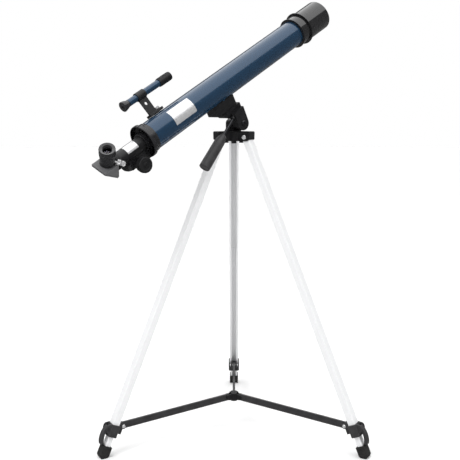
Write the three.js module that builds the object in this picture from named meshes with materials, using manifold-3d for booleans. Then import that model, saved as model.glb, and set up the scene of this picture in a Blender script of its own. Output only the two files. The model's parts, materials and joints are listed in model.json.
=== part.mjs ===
// A 50/600 refractor telescope on a pan and tilt head and a three-legged aluminium tripod.
// Millimetres, +Z up. It is designed round the pan axis, which is the line x = y = 0 with the
// floor at z = 0, and then moved so that the origin is the middle of the floor area it covers.

import * as THREE from 'three';
import { mergeVertices } from 'three/addons/utils/BufferGeometryUtils.js';
import Module from 'manifold-3d';

const wasm = await Module();
wasm.setup();

// ---------------------------------------------------------------- driving dimensions

const GAP = 0.3;                    // clearance between pieces that touch
const DEG = Math.PI / 180;

// tripod
const LEG_AZIMUTHS = [90, 210, 330];
const LEG_LEAN = 23.27 * DEG;       // from the vertical
const LEG_PIVOT_R = 29.2;
const LEG_PIVOT_Z = 587;
const LEG_W = 19;                   // upper leg channel, across
const LEG_D = 13.5;                 // upper leg channel, inward to outward
const LEG_WALL = 1.2;
const LEG_LIP = 3.9;                // inward lips of the channel, measured from its outside
const LEG_TOP = 6;                  // above the pivot
const LEG_END = 594;                // below the pivot
const INNER_W = 15.6;
const INNER_D = 10.1;
const INNER_TOP = 268;              // lower leg runs between these, below the pivot
const INNER_END = 628;
const COLLAR_TOP = 575;
const COLLAR_END = 598;
const COLLAR_W = 24;
const COLLAR_D = 18;
const FOOT_TOP = 616;
const FLOOR_AT = LEG_PIVOT_Z / Math.cos(LEG_LEAN);   // along the leg's centre line
const ARM_PIVOT = { along: 574.3, in: 16.2 };        // outer pivot of a spreader arm
const ARM_HALF = 6.2;               // half of a spreader arm's height

// crown and head
const CROWN_TOP = 598.5;
const CROWN_BOTTOM = 579.5;
const CROWN_R = 40.4;
const CROWN_HALF_W = 11.3;
const RIVET_R = 2.4;
const TILT_Z = 614.5;               // height of the tilt axle
const PAN_ANGLE = -47.13 * DEG;     // the head's forward direction, turned from +Y
const TILT_ANGLE = 28.94 * DEG;     // the tube's elevation
const TUBE_ABOVE_TILT = 80.25;

// optical tube, along the head's forward direction from the tilt axle
const TUBE_R = 27;
const TUBE_WALL = 1.2;
const TUBE_REAR = -192;
const TUBE_FRONT = 233;
const SHIELD_REAR = 257;
const SHIELD_FRONT = 323.5;
const SHIELD_R = 31.4;
const CELL_REAR = -210;
const DRAW_R = 13.6;
const DRAW_REAR = -272;
const DRAW_FRONT = -138;            // the drawtube reaches this far into the main tube
const PINION = { y: -241, z: -27, r: 5.5 };
const DIAGONAL_ROLL = 34 * DEG;
const DIAGONAL_Y = -295;            // where the eyepiece axis meets the tube axis
const FINDER_ROLL = -24 * DEG;
const FINDER_D = 71;                // finder axis to tube axis
const FINDER_RING_Y = -155;

// ---------------------------------------------------------------- materials

function paint(color, roughness, metalness) {
  return new THREE.MeshStandardMaterial({ color, roughness, metalness });
}

const navyPaint = paint(0x24405e, 0.18, 0.35);
const glossBlack = paint(0x17181a, 0.2, 0);
const blackPlastic = paint(0x1e1f21, 0.5, 0);
const greyPlastic = paint(0x55585c, 0.6, 0);
const blackRubber = paint(0x1b1b1c, 0.85, 0);
const aluminium = paint(0xd9dadc, 0.35, 0.9);
const chrome = paint(0xe6e7e9, 0.12, 1);
const darkSteel = paint(0x3a3c40, 0.4, 0.7);
const clearGlass = paint(0xbfd4dc, 0.03, 0);

// ---------------------------------------------------------------- solids

function solidOf(geometry) {
  const bare = geometry.index ? geometry.toNonIndexed() : geometry.clone();
  bare.deleteAttribute('normal');
  bare.deleteAttribute('uv');
  const merged = mergeVertices(bare, 1e-4);
  return new wasm.Manifold(new wasm.Mesh({
    numProp: 3,
    vertProperties: new Float32Array(merged.attributes.position.array),
    triVerts: new Uint32Array(merged.index.array),
  }));
}

function geometryOf(solid) {
  const mesh = solid.getMesh();
  const geometry = new THREE.BufferGeometry();
  geometry.setAttribute('position', new THREE.BufferAttribute(new Float32Array(mesh.vertProperties), 3));
  geometry.setIndex(new THREE.BufferAttribute(new Uint32Array(mesh.triVerts), 1));
  geometry.computeVertexNormals();
  return geometry;
}

function join(first, ...others) {
  let solid = solidOf(first);
  for (const other of others) solid = solid.add(solidOf(other));
  return geometryOf(solid);
}

function cut(first, ...tools) {
  let solid = solidOf(first);
  for (const tool of tools) solid = solid.subtract(solidOf(tool));
  return geometryOf(solid);
}

function box(xRange, yRange, zRange) {
  const size = [xRange, yRange, zRange].map(([low, high]) => high - low);
  const middle = [xRange, yRange, zRange].map(([low, high]) => (low + high) / 2);
  return new THREE.BoxGeometry(...size).translate(...middle);
}

// A solid of revolution about Y. The points are [radius, y], from the axis back to the axis
// or round a closed ring.
function turned(points, segments = 28) {
  const profile = points.map(([r, y]) => new THREE.Vector2(r, y));
  if (THREE.ShapeUtils.area(profile) < 0) profile.reverse();
  return new THREE.LatheGeometry(profile, segments);
}

function rod(radius, from, to, segments = 14) {
  return turned([[0, from], [radius, from], [radius, to], [0, to]], segments);
}

function ring(inner, outer, from, to, segments = 28) {
  const points = [[inner, from], [outer, from], [outer, to], [inner, to], [inner, from]];
  return turned(points, segments);
}

// Turns a solid built about Y so that it lies along another axis.
const alongX = (geometry) => geometry.rotateZ(-Math.PI / 2);
const alongZ = (geometry) => geometry.rotateX(Math.PI / 2);

// An outline in the YZ plane, given as [y, z], pushed along X.
function slab(outline, xRange) {
  const geometry = new THREE.ExtrudeGeometry(outline, {
    depth: xRange[1] - xRange[0], bevelEnabled: false, curveSegments: 6,
  });
  // shape x -> +Y, shape y -> +Z, depth -> +X
  const turn = new THREE.Matrix4().makeBasis(
    new THREE.Vector3(0, 1, 0), new THREE.Vector3(0, 0, 1), new THREE.Vector3(1, 0, 0));
  return geometry.applyMatrix4(turn).translate(xRange[0], 0, 0);
}

// An outline in the XZ plane, given as [x, z], pushed along Y.
function plate(outline, yRange) {
  const geometry = new THREE.ExtrudeGeometry(outline, {
    depth: yRange[1] - yRange[0], bevelEnabled: false, curveSegments: 4,
  });
  // shape x -> +X, shape y -> +Z, depth -> -Y
  const turn = new THREE.Matrix4().makeBasis(
    new THREE.Vector3(1, 0, 0), new THREE.Vector3(0, 0, 1), new THREE.Vector3(0, -1, 0));
  return geometry.applyMatrix4(turn).translate(0, yRange[1], 0);
}

function outlineOf(points) {
  return new THREE.Shape(points.map(([x, y]) => new THREE.Vector2(x, y)));
}

// A rectangle with round corners, centred on the origin.
function roundedRect(width, depth, radius) {
  const [w, d] = [width / 2 - radius, depth / 2 - radius];
  const outline = new THREE.Shape();
  outline.absarc(w, d, radius, 0, Math.PI / 2);
  outline.absarc(-w, d, radius, Math.PI / 2, Math.PI);
  outline.absarc(-w, -d, radius, Math.PI, Math.PI * 1.5);
  outline.absarc(w, -d, radius, Math.PI * 1.5, Math.PI * 2);
  outline.closePath();
  return outline;
}

function extrudeZ(outline, from, to) {
  const options = { depth: to - from, bevelEnabled: false, curveSegments: 2 };
  return new THREE.ExtrudeGeometry(outline, options).translate(0, 0, from);
}

// ---------------------------------------------------------------- assembly helpers

function piece(parent, name, geometry, material) {
  const mesh = new THREE.Mesh(geometry, material);
  mesh.name = name;
  parent.add(mesh);
  return mesh;
}

function frameIn(parent, position, rotation = [0, 0, 0]) {
  const group = new THREE.Group();
  group.position.set(...position);
  group.rotation.set(...rotation);
  parent.add(group);
  return group;
}

// ---------------------------------------------------------------- tripod

// A C-shaped channel along Z, open towards -X, with lips beside the opening.
function channel(width, depth, lip, from, to) {
  const outer = extrudeZ(roundedRect(depth, width, 1.5), from, to);
  const inner = extrudeZ(roundedRect(depth - 2 * LEG_WALL, width - 2 * LEG_WALL, 0.6), from - 1, to + 1);
  const slotHalf = width / 2 - lip;
  const slot = box([-depth, 0], [-slotHalf, slotHalf], [from - 1, to + 1]);
  return cut(outer, inner, slot);
}

// The plastic crown: a hub with three sleeves for the leg tops, and a tongue in each sleeve.
function crown() {
  const hub = alongZ(rod(19.4, CROWN_BOTTOM, CROWN_TOP, 28));
  const arms = [];
  const pockets = [];
  const tongues = [];
  const holes = [];
  for (const azimuth of LEG_AZIMUTHS) {
    const turn = (geometry) => geometry.rotateZ(azimuth * DEG);
    const side = outlineOf([
      [8, CROWN_BOTTOM], [35.4, CROWN_BOTTOM], [CROWN_R - 0.4, CROWN_BOTTOM + 3.6],
      [CROWN_R, CROWN_TOP - 1.5], [CROWN_R - 1.5, CROWN_TOP], [8, CROWN_TOP],
    ]);
    arms.push(turn(plate(side, [-CROWN_HALF_W, CROWN_HALF_W])));
    const pocketHalf = LEG_W / 2 + GAP;
    pockets.push(turn(box([19.7, CROWN_R - 1.4], [-pocketHalf, pocketHalf], [560, CROWN_TOP - 2])));
    tongues.push(turn(box([14, 21], [-3.6, 3.6], [576, CROWN_TOP - 1])));
    tongues.push(turn(box([18, LEG_PIVOT_R], [-3.6, 3.6], [LEG_PIVOT_Z - 4.4, LEG_PIVOT_Z + 4.4])));
    tongues.push(turn(rod(4.4, -3.6, 3.6, 12).translate(LEG_PIVOT_R, 0, LEG_PIVOT_Z)));
    holes.push(turn(rod(RIVET_R + GAP, -15, 15, 10).translate(LEG_PIVOT_R, 0, LEG_PIVOT_Z)));
  }
  const bolt = alongZ(rod(3 + GAP, 560, 610, 10));
  const body = cut(join(hub, ...arms), ...pockets);
  return cut(join(body, ...tongues), ...holes, bolt);
}

// A rivet along Y with a domed head at both ends.
function rivet(radius, halfLength, headRadius) {
  const head = headRadius;
  return turned([
    [0, -halfLength - 2.2], [head * 0.6, -halfLength - 1.9], [head, -halfLength - 0.8], [head, -halfLength],
    [radius, -halfLength], [radius, halfLength],
    [head, halfLength], [head, halfLength + 0.8], [head * 0.6, halfLength + 1.9], [0, halfLength + 2.2],
  ], 10);
}

function upperLeg() {
  const body = channel(LEG_W, LEG_D, LEG_LIP, -LEG_END, LEG_TOP);
  return cut(body, rod(RIVET_R + GAP, -15, 15, 10));
}

const LEVER_PIVOT = { out: 12.6, along: 584 };

// A moulded sleeve round the end of the upper leg, with a fork on the inside for the spreader
// arm and a hump on the outside that holds the clamp lever.
function collar() {
  const shell = extrudeZ(roundedRect(COLLAR_D, COLLAR_W, 3), -COLLAR_END, -COLLAR_TOP);
  const lug = join(
    box([-ARM_PIVOT.in, -8], [-7, 7], [-COLLAR_END + 8, -ARM_PIVOT.along + 5.5]),
    rod(5.5, -7, 7, 12).translate(-ARM_PIVOT.in, 0, -ARM_PIVOT.along),
  );
  const hump = outlineOf([
    [4, -COLLAR_TOP], [11, -COLLAR_TOP - 1], [16.4, -LEVER_PIVOT.along + 2.5],
    [16.4, -LEVER_PIVOT.along - 3], [8, -COLLAR_END + 4], [4, -COLLAR_END + 4],
  ]);
  const ears = plate(hump, [-9.5, 9.5]);
  const leverRoom = box([9.5, 30], [-6.4, 6.4], [-700, -500]);
  const leg = box([-LEG_D / 2 - GAP, LEG_D / 2 + GAP], [-LEG_W / 2 - GAP, LEG_W / 2 + GAP],
    [-LEG_END - GAP, -500]);
  const throat = box([-INNER_D / 2 - GAP, INNER_D / 2 + GAP], [-INNER_W / 2 - GAP, INNER_W / 2 + GAP],
    [-700, -500]);
  const fork = box([-ARM_PIVOT.in - 8, -LEG_D / 2 - 2.6], [-3.4, 3.4], [-700, -500]);
  const armHole = rod(2 + GAP, -15, 15, 8).translate(-ARM_PIVOT.in, 0, -ARM_PIVOT.along);
  const leverHole = rod(1.6 + GAP, -15, 15, 8).translate(LEVER_PIVOT.out, 0, -LEVER_PIVOT.along);
  return cut(join(cut(join(shell, ears), leverRoom), lug), leg, throat, fork, armHole, leverHole);
}

// The clamp lever, drawn round its own pin: a curved blade that hangs outside the leg.
function clampLever() {
  const blade = new THREE.Shape();
  blade.moveTo(1.9, 1.9);
  blade.quadraticCurveTo(6.4, -7, 5.6, -18);
  blade.quadraticCurveTo(5, -27, 1, -33);
  blade.lineTo(-3.4, -29.5);
  blade.quadraticCurveTo(0.4, -22, 0.8, -14);
  blade.lineTo(-1.4, -2.6);
  blade.closePath();
  const grip = plate(blade, [-6, 6]);
  const eye = rod(2.9, -6, 6, 10);
  const pin = rod(1.6, -9.2, 9.2, 8);
  return join(grip, eye, pin);
}

// The rubber foot: its sole is level when the legs are spread.
function foot() {
  const sole = (x) => -FLOOR_AT - x * Math.tan(LEG_LEAN);
  const outline = outlineOf([
    [-8.4, -FOOT_TOP], [-8.4, sole(-8.4) + 2.5], [-6, sole(-6)], [4.2, sole(4.2)],
    [8.4, sole(8.4) + 6.5], [8.4, -FOOT_TOP],
  ]);
  const body = plate(outline, [-9.5, 9.5]);
  const socket = box([-INNER_D / 2 - GAP, INNER_D / 2 + GAP], [-INNER_W / 2 - GAP, INNER_W / 2 + GAP],
    [-INNER_END - GAP, -500]);
  return cut(body, socket);
}

// A flat spreader arm from the collar's lug to the hub, drawn from (0, 0) to (length, 0)
// in the XZ plane, with an eye at both ends and a groove along both faces.
function spreaderArm(length) {
  const bar = join(
    box([0, length], [-2.4, 2.4], [-ARM_HALF, ARM_HALF]),
    rod(ARM_HALF, -2.4, 2.4),
    rod(ARM_HALF, -2.4, 2.4).translate(length, 0, 0),
  );
  const grooves = [-1, 1].map((side) => {
    const faces = side < 0 ? [-3, -1.5] : [1.5, 3];
    return box([12, length - 12], faces, [-ARM_HALF + 2.4, ARM_HALF - 2.4]);
  });
  const eyes = [0, length].map((x) => rod(2 + GAP, -5, 5, 8).translate(x, 0, 0));
  return cut(bar, ...grooves, ...eyes);
}

const HUB_Z = 66.6;
const HUB_PIVOT_R = 14;

// The centre block that the three arms meet in, with a fork and a pin for each.
function spreaderHub() {
  const body = alongZ(turned([
    [0, HUB_Z - 9], [7, HUB_Z - 9], [9.5, HUB_Z - 6], [9.5, HUB_Z + 7], [5, HUB_Z + 9.5], [0, HUB_Z + 9.5],
  ], 18));
  const pieces = [body];
  const slots = [];
  const pins = [];
  for (const azimuth of LEG_AZIMUTHS) {
    const turn = (geometry) => geometry.rotateZ(azimuth * DEG);
    pieces.push(turn(box([5, HUB_PIVOT_R], [-5.6, 5.6], [HUB_Z - 5.4, HUB_Z + 5.4])));
    pieces.push(turn(rod(5.4, -5.6, 5.6, 12).translate(HUB_PIVOT_R, 0, HUB_Z)));
    slots.push(turn(box([HUB_PIVOT_R - ARM_HALF - 0.4, 30], [-2.8, 2.8], [HUB_Z - 20, HUB_Z + 20])));
    pins.push(turn(rod(1.7, -5.6, 5.6, 8).translate(HUB_PIVOT_R, 0, HUB_Z)));
  }
  return join(cut(join(...pieces), ...slots), ...pins);
}

function addTripod(root) {
  piece(root, 'crown', crown(), blackPlastic);
  const bolt = join(alongZ(rod(3, 575, 606, 10)), alongZ(rod(5.6, 574.6, CROWN_BOTTOM - GAP, 6)));
  piece(root, 'pan_bolt', bolt, darkSteel);
  piece(root, 'spreader_hub', spreaderHub(), blackPlastic);

  LEG_AZIMUTHS.forEach((azimuth, i) => {
    const n = i + 1;
    const sector = frameIn(root, [0, 0, 0], [0, 0, azimuth * DEG]);
    const leg = frameIn(sector, [LEG_PIVOT_R, 0, LEG_PIVOT_Z], [0, -LEG_LEAN, 0]);
    piece(leg, `leg_pin_${n}`, rivet(RIVET_R, CROWN_HALF_W + GAP, 4.4), chrome);
    piece(leg, `upper_leg_${n}`, upperLeg(), aluminium);
    piece(leg, `lower_leg_${n}`, channel(INNER_W, INNER_D, 3.4, -INNER_END, -INNER_TOP), aluminium);
    piece(leg, `collar_${n}`, collar(), blackPlastic);
    piece(leg, `foot_${n}`, foot(), blackRubber);
    const lever = frameIn(leg, [LEVER_PIVOT.out, 0, -LEVER_PIVOT.along]);
    piece(lever, `clamp_lever_${n}`, clampLever(), blackPlastic);
    const armPin = rivet(2, 7 + GAP, 3.4).translate(-ARM_PIVOT.in, 0, -ARM_PIVOT.along);
    piece(leg, `arm_pin_${n}`, armPin, chrome);

    const along = ARM_PIVOT.along;
    const outer = new THREE.Vector2(
      LEG_PIVOT_R + along * Math.sin(LEG_LEAN) - ARM_PIVOT.in * Math.cos(LEG_LEAN),
      LEG_PIVOT_Z - along * Math.cos(LEG_LEAN) - ARM_PIVOT.in * Math.sin(LEG_LEAN),
    );
    const reach = outer.clone().sub(new THREE.Vector2(HUB_PIVOT_R, HUB_Z));
    const arm = frameIn(sector, [HUB_PIVOT_R, 0, HUB_Z], [0, -reach.angle(), 0]);
    piece(arm, `spreader_arm_${n}`, spreaderArm(reach.length()), blackPlastic);
  });
}

// ---------------------------------------------------------------- pan and tilt head

function panBase() {
  const disc = cut(alongZ(rod(14, CROWN_TOP + GAP, 602.5, 24)), box([9.6, 20], [-20, 20], [590, 610]));
  const lug = join(
    box([-15.6, -2.4], [-7.5, 7.5], [600, TILT_Z]),
    alongX(rod(7.5, -15.6, -2.4, 20)).translate(0, 0, TILT_Z),
  );
  const boltHole = alongZ(rod(3 + GAP, 590, 607, 10));
  const bossForBolt = alongZ(rod(6.5, 600, 608.5, 16));
  const axleHole = alongX(rod(2.8 + GAP, -30, 30, 10)).translate(0, 0, TILT_Z);
  return cut(join(disc, lug, bossForBolt), boltHole, axleHole);
}

function tiltAxle() {
  return alongX(turned([
    [0, -18.6], [4.4, -18.6], [5.4, -17.8], [5.4, -15.9], [2.8, -15.9], [2.8, 28.3],
    [5.4, 28.3], [5.4, 29.4], [4, 30.6], [0, 30.6],
  ], 16));
}

const HANDLE_X = 20;
const HANDLE_DROP = 22 * DEG;       // below the platform's rearward direction
const HANDLE_START = [HANDLE_X, -11.5, 18.1];

// The tilting block: a platform for the saddle and a cheek at its right that turns on the axle.
function tiltBlock() {
  const platform = new THREE.Shape();
  platform.moveTo(21, 35.3);
  platform.lineTo(-16, 35.3);
  platform.absarc(-12, 27, 8.6, Math.PI * 0.75, Math.PI * 1.5, false);
  platform.lineTo(17, 18.4);
  platform.absarc(17, 22.4, 4, Math.PI * 1.5, Math.PI * 2, false);
  platform.closePath();
  const top = slab(platform, [-15, 15]);
  const cheek = new THREE.Shape();
  cheek.absarc(0, 0, 14, -Math.PI * 0.97, 0, false);
  cheek.lineTo(15.5, 29.7);
  cheek.lineTo(-12, 26);
  cheek.closePath();
  const side = slab(cheek, [10, 28]);
  const boss = rod(5.6, -4, 14, 16).rotateX(HANDLE_DROP).translate(...HANDLE_START);
  const rodHole = rod(3 + GAP, -20, 12, 10).rotateX(HANDLE_DROP).translate(...HANDLE_START);
  const axleHole = alongX(rod(2.8 + GAP, -30, 40, 10));
  const screwHole = alongZ(rod(3 + GAP, 10, 50, 10)).translate(0, -3, 0);
  return cut(join(top, side, boss), rodHole, axleHole, screwHole);
}

function handleGrip() {
  const profile = [
    [3 + GAP, -42], [4.6, -42], [6.4, -46], [9.6, -54], [10.2, -58], [10.6, -96],
    [10.8, -112], [10.2, -118], [8.6, -121], [0, -121], [0, -76], [3 + GAP, -76], [3 + GAP, -42],
  ];
  return turned(profile, 20);
}

function saddle() {
  const body = box([-14.6, 14.6], [-41.4, 13], [35.3 + GAP, 60]);
  const bore = rod(TUBE_R + GAP, -60, 60, 36).translate(0, 0, TUBE_ABOVE_TILT);
  const screwHole = alongZ(rod(3 + GAP, 30, 46, 10)).translate(0, -3, 0);
  return cut(body, bore, screwHole);
}

function addHead(root) {
  const pan = frameIn(root, [0, 0, 0], [0, 0, PAN_ANGLE]);
  piece(pan, 'pan_base', panBase(), blackPlastic);
  const axle = frameIn(pan, [0, 0, TILT_Z]);
  piece(axle, 'tilt_axle', tiltAxle(), darkSteel);
  const tilt = frameIn(pan, [0, 0, TILT_Z], [TILT_ANGLE, 0, 0]);
  piece(tilt, 'tilt_block', tiltBlock(), blackPlastic);
  const handle = frameIn(tilt, HANDLE_START, [HANDLE_DROP, 0, 0]);
  piece(handle, 'handle_rod', rod(3, -75, 11, 10), darkSteel);
  piece(handle, 'handle_grip', handleGrip(), blackPlastic);
  piece(tilt, 'saddle', saddle(), blackPlastic);
  const screw = join(alongZ(rod(3, 14, 45, 10)), alongZ(rod(6, 13.4, 18.1, 18))).translate(0, -3, 0);
  piece(tilt, 'saddle_screw', screw, chrome);
  return tilt;
}

// ---------------------------------------------------------------- optical tube

function rearCell() {
  const shell = turned([
    [25.4, TUBE_REAR + 14], [25.4, TUBE_REAR - GAP], [28.2, TUBE_REAR - GAP], [28.2, -201],
    [31.6, -203], [31.6, CELL_REAR + 0.8], [30.8, CELL_REAR], [29.6, CELL_REAR], [28.6, -200],
    [24, -197], [17.4, -197], [17.4, -214], [DRAW_R + GAP, -214], [DRAW_R + GAP, TUBE_REAR + 14],
    [25.4, TUBE_REAR + 14],
  ]);
  const bracket = join(
    box([-6.5, 6.5], [-256, -197], [-31, -12]),
    alongX(rod(6.6, -13, 13, 18)).translate(0, PINION.y, PINION.z),
  );
  const bore = rod(DRAW_R + GAP, -300, -150, 28);
  const rackWay = box([-3.4, 3.4], [-300, -150], [-21.6, -10]);
  const shaftHole = alongX(rod(1.6 + GAP, -30, 30, 8)).translate(0, PINION.y, PINION.z);
  const gearRoom = alongX(rod(PINION.r + 0.8, -3.4, 3.4, 16)).translate(0, PINION.y, PINION.z);
  return cut(join(shell, bracket), bore, rackWay, shaftHole, gearRoom);
}

const RACK_PITCH = 3.4;
const GEAR_TEETH = 10;              // one turn moves the rack ten pitches
const DRAW_SCREW_Y = DRAW_REAR - 4.5;
const DRAW_SCREW_TILT = 90 * DEG;   // stands the screw up from the tube's axis
const DRAW_SCREW_TURN = 98 * DEG;   // then rolls it round the tube, to the right and a little down

// The drawtube, with a toothed rack along its underside and a socket for the star diagonal.
function drawtube() {
  const tube = ring(12.25, DRAW_R, DRAW_REAR, DRAW_FRONT);
  const mouth = ring(12.4, 15.6, DRAW_REAR - 8.6, DRAW_REAR + 0.5);
  const rack = box([-3, 3], [DRAW_REAR + 6, DRAW_FRONT - 4], [-19.6, -13]);
  const teeth = [];
  for (let y = DRAW_REAR + 8; y < DRAW_FRONT - 6; y += RACK_PITCH) {
    teeth.push(box([-2.6, 2.6], [y, y + RACK_PITCH / 2], [-20.8, -19]));
  }
  const screwHole = rod(1.5 + GAP, 12, 30, 8).rotateX(DRAW_SCREW_TILT).rotateY(DRAW_SCREW_TURN);
  return cut(join(tube, mouth, rack, ...teeth), screwHole.translate(0, DRAW_SCREW_Y, 0));
}

function focusKnob(side) {
  const faces = [
    [1.9, 14], [8, 14], [8, 15.5], [12.8, 16], [12.8, 21], [14.4, 21.5], [14.4, 29], [13.4, 30],
    [1.9, 30], [1.9, 14],
  ].map(([r, x]) => [r, x * side]);
  return alongX(turned(faces));
}

function pinionShaft() {
  const shaft = alongX(rod(1.6, -29.6, 29.6, 8));
  const gear = alongX(rod(PINION.r - 0.9, -2.6, 2.6, 10));
  const teeth = [];
  for (let k = 0; k < GEAR_TEETH; k += 1) {
    teeth.push(box([-2.6, 2.6], [2, PINION.r], [-0.6, 0.6]).rotateX((k / GEAR_TEETH) * 2 * Math.PI));
  }
  return join(shaft, gear, ...teeth);
}

function addFocuser(ota) {
  piece(ota, 'rear_cell', rearCell(), blackPlastic);
  piece(ota, 'drawtube', drawtube(), blackPlastic);
  const pinion = frameIn(ota, [0, PINION.y, PINION.z]);
  piece(pinion, 'pinion_shaft', pinionShaft(), darkSteel);
  piece(pinion, 'focus_knob_right', focusKnob(1), blackPlastic);
  piece(pinion, 'focus_knob_left', focusKnob(-1), blackPlastic);
}

function addTube(ota) {
  piece(ota, 'main_tube', ring(TUBE_R - TUBE_WALL, TUBE_R, TUBE_REAR, TUBE_FRONT, 36), navyPaint);
  const lensCell = turned([
    [22, TUBE_FRONT - 14], [25.4, TUBE_FRONT - 14], [25.4, TUBE_FRONT + GAP], [32.2, TUBE_FRONT + GAP],
    [32.2, TUBE_FRONT + 1.8], [30.6, TUBE_FRONT + 2.4], [30.6, SHIELD_REAR - GAP],
    [27.6, SHIELD_REAR - GAP], [27.6, SHIELD_REAR + 10], [25.2, SHIELD_REAR + 10],
    [25.2, SHIELD_REAR - 7], [22, SHIELD_REAR - 7], [22, TUBE_FRONT - 14],
  ]);
  piece(ota, 'lens_cell', lensCell, glossBlack);
  const lens = turned([
    [0, SHIELD_REAR - 6.6], [24.8, SHIELD_REAR - 5.9], [24.8, SHIELD_REAR + 0.6],
    [14, SHIELD_REAR + 2.1], [0, SHIELD_REAR + 2.8],
  ]);
  piece(ota, 'objective_lens', lens, clearGlass);
  piece(ota, 'lens_retainer', ring(22.6, 24.9, SHIELD_REAR + 1.4, SHIELD_REAR + 7), blackPlastic);
  const shield = turned([
    [27.9, SHIELD_REAR], [35, SHIELD_REAR], [35, SHIELD_REAR + 1.8], [SHIELD_R, SHIELD_REAR + 2.6],
    [SHIELD_R, SHIELD_FRONT - 0.8], [SHIELD_R - 0.6, SHIELD_FRONT], [SHIELD_R - 2, SHIELD_FRONT],
    [SHIELD_R - 2.4, SHIELD_REAR + 14], [27.9, SHIELD_REAR + 13], [27.9, SHIELD_REAR],
  ]);
  piece(ota, 'dew_shield', shield, glossBlack);
}

// A thumbscrew along Y: a shank from 0 to its head, and a knurled head beyond.
function thumbscrew(shankRadius, shank, headRadius, headLength) {
  const stem = rod(shankRadius, 0, shank + 0.5, 8);
  const head = rod(headRadius, shank, shank + headLength, 16);
  const grooves = [];
  const count = 8;
  for (let k = 0; k < count; k += 1) {
    const turn = (k / count) * 2 * Math.PI;
    grooves.push(box([headRadius - 0.4, headRadius + 1], [shank - 1, shank + headLength + 1], [-0.4, 0.4])
      .rotateY(turn));
  }
  return join(stem, cut(head, ...grooves));
}

// The star diagonal, in a frame whose Z is the eyepiece's axis and whose mirror lies at 45
// degrees behind and below the point where the two axes cross.
const HOUSING_HALF = 16.5;
const HOUSING_TOP = 12;             // towards the eyepiece
const HOUSING_FRONT = 11;           // towards the drawtube
const EYE_BARREL_R = 12.2;
const EYE_SCREW_TURN = -58 * DEG;
const EYE_SCREW_Z = 17.2;
const MIRROR_BACK = 8;              // from the crossing of the axes to the cut face

function diagonalBody() {
  const corner = MIRROR_BACK * Math.SQRT2;
  const tip = 1.3;
  const [rear, bottom] = [HOUSING_TOP + corner - tip, HOUSING_FRONT + corner - tip];
  const outline = outlineOf([
    [HOUSING_FRONT, HOUSING_TOP], [-rear, HOUSING_TOP], [-rear, rear - corner],
    [bottom - corner, -bottom], [HOUSING_FRONT, -bottom],
  ]);
  const housing = slab(outline, [-HOUSING_HALF, HOUSING_HALF]);
  const nose = rod(11.9, 9, DRAW_REAR - DIAGONAL_Y - 1, 24);
  const socket = alongZ(rod(14.2, 11, 33, 28));
  const lightIn = rod(9.6, -13, 60, 20);
  const lightOut = alongZ(rod(EYE_BARREL_R + GAP, -14, 60, 24));
  const screwHole = rod(1.5 + GAP, 8, 30, 8).rotateZ(EYE_SCREW_TURN).translate(0, 0, EYE_SCREW_Z);
  const mirrorBed = box([-12, 12], [-3, 3], [-15, 15]).rotateX(45 * DEG)
    .translate(0, -MIRROR_BACK / Math.SQRT2, -MIRROR_BACK / Math.SQRT2);
  return cut(join(housing, nose, socket), lightIn, lightOut, screwHole, mirrorBed);
}

function eyepieceBody() {
  return alongZ(turned([
    [9.6, 14], [EYE_BARREL_R, 14], [EYE_BARREL_R, 33.5], [14, 33.5], [14.6, 34.5], [14.6, 45],
    [13.8, 47], [10.5, 47], [6.6, 43], [6.6, 41], [9.6, 40], [9.6, 14],
  ], 24));
}

function addDiagonal(ota) {
  const diagonal = frameIn(ota, [0, DIAGONAL_Y, 0], [0, DIAGONAL_ROLL, 0]);
  piece(diagonal, 'diagonal_body', diagonalBody(), blackPlastic);
  const back = -MIRROR_BACK / Math.SQRT2;
  const bed = frameIn(diagonal, [0, back, back], [45 * DEG, 0, 0]);
  piece(bed, 'diagonal_mirror', box([-11.5, 11.5], [0.3, 2.3], [-12, 12]), chrome);
  const cover = extrudeZ(roundedRect(33, 45, 2), -1.9, -0.5).rotateX(-90 * DEG);
  piece(bed, 'diagonal_cover', cover, greyPlastic);
  piece(diagonal, 'eyepiece', eyepieceBody(), blackPlastic);
  const eyeLens = alongZ(turned([[0, 35], [9.2, 35], [9.2, 37], [5, 39.2], [0, 40]], 20));
  piece(diagonal, 'eye_lens', eyeLens, clearGlass);
  const eyeScrew = frameIn(diagonal, [0, 0, EYE_SCREW_Z], [0, 0, EYE_SCREW_TURN]);
  piece(eyeScrew, 'eyepiece_screw', thumbscrew(1.5, 4.2, 4.6, 6).translate(0, EYE_BARREL_R + GAP, 0), chrome);
  const seat = frameIn(ota, [0, DRAW_SCREW_Y, 0], [0, DRAW_SCREW_TURN, 0]);
  const drawScrew = thumbscrew(1.5, 4.4, 4.6, 6).translate(0, 12.3, 0).rotateX(DRAW_SCREW_TILT);
  piece(seat, 'diagonal_screw', drawScrew, chrome);
}

// The finder, on a blade bracket whose foot is screwed to the tube.
const FINDER_R = 6.6;
const FINDER_BACK = FINDER_RING_Y - 44;
const FINDER_FRONT = FINDER_RING_Y + 78;

function finderBracket() {
  const clamp = ring(FINDER_R + GAP, 8.4, FINDER_RING_Y - 10, FINDER_RING_Y + 10, 20);
  const blade = outlineOf([
    [FINDER_RING_Y - 9.6, 32 - FINDER_D], [FINDER_RING_Y + 8.6, 32 - FINDER_D],
    [FINDER_RING_Y + 9.6, -7.6], [FINDER_RING_Y - 9.6, -7.6],
  ]);
  const web = slab(blade, [-1.5, 1.5]);
  const footPlate = box([-8, 8], [FINDER_RING_Y - 12, FINDER_RING_Y + 20], [27.6 - FINDER_D, 32.4 - FINDER_D]);
  const tubeBore = rod(TUBE_R + GAP, -250, -50, 36).translate(0, 0, -FINDER_D);
  const bladeHole = alongX(rod(3.2, -5, 5, 12)).translate(0, FINDER_RING_Y, -18);
  const studHole = alongZ(rod(1.5 + GAP, 20, 40, 8)).translate(0, FINDER_RING_Y + 14, -FINDER_D);
  return cut(join(clamp, web, footPlate), tubeBore, bladeHole, studHole);
}

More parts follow.
